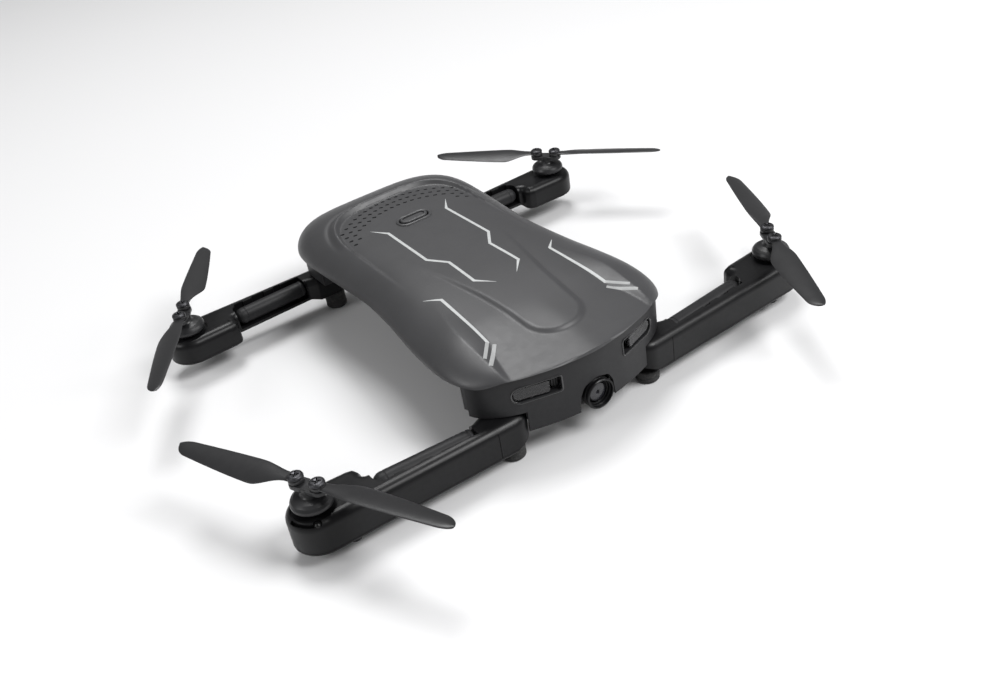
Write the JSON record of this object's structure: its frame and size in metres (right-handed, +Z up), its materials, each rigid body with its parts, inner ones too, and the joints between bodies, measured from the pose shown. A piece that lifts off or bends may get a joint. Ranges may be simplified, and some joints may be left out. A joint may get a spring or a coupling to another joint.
{
  "type": "folding palm drone",
  "caption": "Pocket quadcopter with a waisted body, swing-out arms, folding two-blade rotors, a tilting nose camera and a slide-out battery.",
  "frame": {"origin": "on the ground under the middle of the open drone, on the body's centre line", "axes": "+Z up, +Y from the camera nose to the tail, +X to the drone's side that is on the right when looking from the nose to the tail"},
  "size_m": [0.2125, 0.1893, 0.0386],
  "materials": {
    "shell_grey": "satin moulded plastic, dark grey",
    "body_black": "satin moulded plastic, near black",
    "arm_black": "satin moulded plastic, near black",
    "gloss_black": "polished black plastic",
    "clear_lens": "clear polished window",
    "lens_glass": "dark coated camera glass",
    "blade_black": "semi-gloss black plastic",
    "dark_steel": "dark plated screw",
    "motor_steel": "plain steel can",
    "board_green": "solder-masked board",
    "battery_grey": "fine-textured plastic case",
    "foot_black": "matt black foot"
  },
  "bodies": {
    "body": {"top_shell": "shell_grey", "lower_housing": "body_black", "front_fascia": "body_black", "led_lens_left": "clear_lens", "led_lens_right": "clear_lens", "camera_bracket": "body_black", "circuit_board": "board_green", "hinge_foot_front_right": "foot_black", "hinge_foot_front_left": "foot_black", "hinge_foot_rear_right": "foot_black", "hinge_foot_rear_left": "foot_black"},
    "arm_front_right": {"arm_front_right": "arm_black", "arm_cover_front_right": "arm_black", "arm_tube_front_right": "gloss_black", "motor_front_right": "motor_steel"},
    "rotor_front_right": {"rotor_hub_front_right": "blade_black", "blade_screw_a_front_right": "dark_steel", "blade_screw_b_front_right": "dark_steel"},
    "blade_a_front_right": {"blade_a_front_right": "blade_black"},
    "blade_b_front_right": {"blade_b_front_right": "blade_black"},
    "arm_front_left": {"arm_front_left": "arm_black", "arm_cover_front_left": "arm_black", "arm_tube_front_left": "gloss_black", "motor_front_left": "motor_steel"},
    "rotor_front_left": {"rotor_hub_front_left": "blade_black", "blade_screw_a_front_left": "dark_steel", "blade_screw_b_front_left": "dark_steel"},
    "blade_a_front_left": {"blade_a_front_left": "blade_black"},
    "blade_b_front_left": {"blade_b_front_left": "blade_black"},
    "arm_rear_right": {"arm_rear_right": "arm_black", "arm_cover_rear_right": "arm_black", "arm_tube_rear_right": "gloss_black", "motor_rear_right": "motor_steel"},
    "rotor_rear_right": {"rotor_hub_rear_right": "blade_black", "blade_screw_a_rear_right": "dark_steel", "blade_screw_b_rear_right": "dark_steel"},
    "blade_a_rear_right": {"blade_a_rear_right": "blade_black"},
    "blade_b_rear_right": {"blade_b_rear_right": "blade_black"},
    "arm_rear_left": {"arm_rear_left": "arm_black", "arm_cover_rear_left": "arm_black", "arm_tube_rear_left": "gloss_black", "motor_rear_left": "motor_steel"},
    "rotor_rear_left": {"rotor_hub_rear_left": "blade_black", "blade_screw_a_rear_left": "dark_steel", "blade_screw_b_rear_left": "dark_steel"},
    "blade_a_rear_left": {"blade_a_rear_left": "blade_black"},
    "blade_b_rear_left": {"blade_b_rear_left": "blade_black"},
    "camera": {"camera_barrel": "body_black", "camera_lens": "lens_glass"},
    "button": {"power_button": "shell_grey"},
    "battery": {"battery_pack": "battery_grey"}
  },
  "joints": [
    {"name": "fold_front_right", "type": "hinge", "parent": "body", "child": "arm_front_right", "pos_m": [0.0256, -0.0593, 0.0107], "axis": [0, 0, 1], "range_deg": [0, 85.3]},
    {"name": "spin_front_right", "type": "hinge", "parent": "arm_front_right", "child": "rotor_front_right", "pos_m": [0.0844, -0.0545, 0.018], "axis": [0, 0, 1], "continuous": true},
    {"name": "blade_fold_a_front_right", "type": "hinge", "parent": "rotor_front_right", "child": "blade_a_front_right", "pos_m": [0.08609, -0.05132, 0.0233], "axis": [0, 0, 1], "range_deg": [-120, 120]},
    {"name": "blade_fold_b_front_right", "type": "hinge", "parent": "rotor_front_right", "child": "blade_b_front_right", "pos_m": [0.08271, -0.05768, 0.0233], "axis": [0, 0, 1], "range_deg": [-120, 120]},
    {"name": "fold_front_left", "type": "hinge", "parent": "body", "child": "arm_front_left", "pos_m": [-0.0256, -0.0593, 0.0107], "axis": [0, 0, -1], "range_deg": [0, 85.3]},
    {"name": "spin_front_left", "type": "hinge", "parent": "arm_front_left", "child": "rotor_front_left", "pos_m": [-0.0844, -0.0545, 0.018], "axis": [0, 0, 1], "continuous": true},
    {"name": "blade_fold_a_front_left", "type": "hinge", "parent": "rotor_front_left", "child": "blade_a_front_left", "pos_m": [-0.08592, -0.05124, 0.0233], "axis": [0, 0, -1], "range_deg": [-120, 120]},
    {"name": "blade_fold_b_front_left", "type": "hinge", "parent": "rotor_front_left", "child": "blade_b_front_left", "pos_m": [-0.08288, -0.05776, 0.0233], "axis": [0, 0, -1], "range_deg": [-120, 120]},
    {"name": "fold_rear_right", "type": "hinge", "parent": "body", "child": "arm_rear_right", "pos_m": [0.0224, 0.0567, 0.0107], "axis": [0, 0, -1], "range_deg": [0, 103.3]},
    {"name": "spin_rear_right", "type": "hinge", "parent": "arm_rear_right", "child": "rotor_rear_right", "pos_m": [0.0767, 0.0554, 0.018], "axis": [0, 0, 1], "continuous": true},
    {"name": "blade_fold_a_rear_right", "type": "hinge", "parent": "rotor_rear_right", "child": "blade_a_rear_right", "pos_m": [0.07439, 0.05816, 0.0233], "axis": [0, 0, -1], "range_deg": [-120, 120]},
    {"name": "blade_fold_b_rear_right", "type": "hinge", "parent": "rotor_rear_right", "child": "blade_b_rear_right", "pos_m": [0.07901, 0.05264, 0.0233], "axis": [0, 0, -1], "range_deg": [-120, 120]},
    {"name": "fold_rear_left", "type": "hinge", "parent": "body", "child": "arm_rear_left", "pos_m": [-0.0224, 0.0567, 0.0107], "axis": [0, 0, 1], "range_deg": [0, 103.3]},
    {"name": "spin_rear_left", "type": "hinge", "parent": "arm_rear_left", "child": "rotor_rear_left", "pos_m": [-0.0767, 0.0554, 0.018], "axis": [0, 0, 1], "continuous": true},
    {"name": "blade_fold_a_rear_left", "type": "hinge", "parent": "rotor_rear_left", "child": "blade_a_rear_left", "pos_m": [-0.07485, 0.05849, 0.0233], "axis": [0, 0, 1], "range_deg": [-120, 120]},
    {"name": "blade_fold_b_rear_left", "type": "hinge", "parent": "rotor_rear_left", "child": "blade_b_rear_left", "pos_m": [-0.07855, 0.05231, 0.0233], "axis": [0, 0, 1], "range_deg": [-120, 120]},
    {"name": "camera_tilt", "type": "hinge", "parent": "body", "child": "camera", "pos_m": [0, -0.063, 0.0131], "axis": [1, 0, 0], "range_deg": [0, 60]},
    {"name": "power_press", "type": "slide", "parent": "body", "child": "button", "axis": [0, 0, -1], "range_m": [0, 0.0008], "stiffness_N_per_m": 600},
    {"name": "battery_slide", "type": "slide", "parent": "body", "child": "battery", "axis": [0, 1, 0], "range_m": [0, 0.026]}
  ]
}
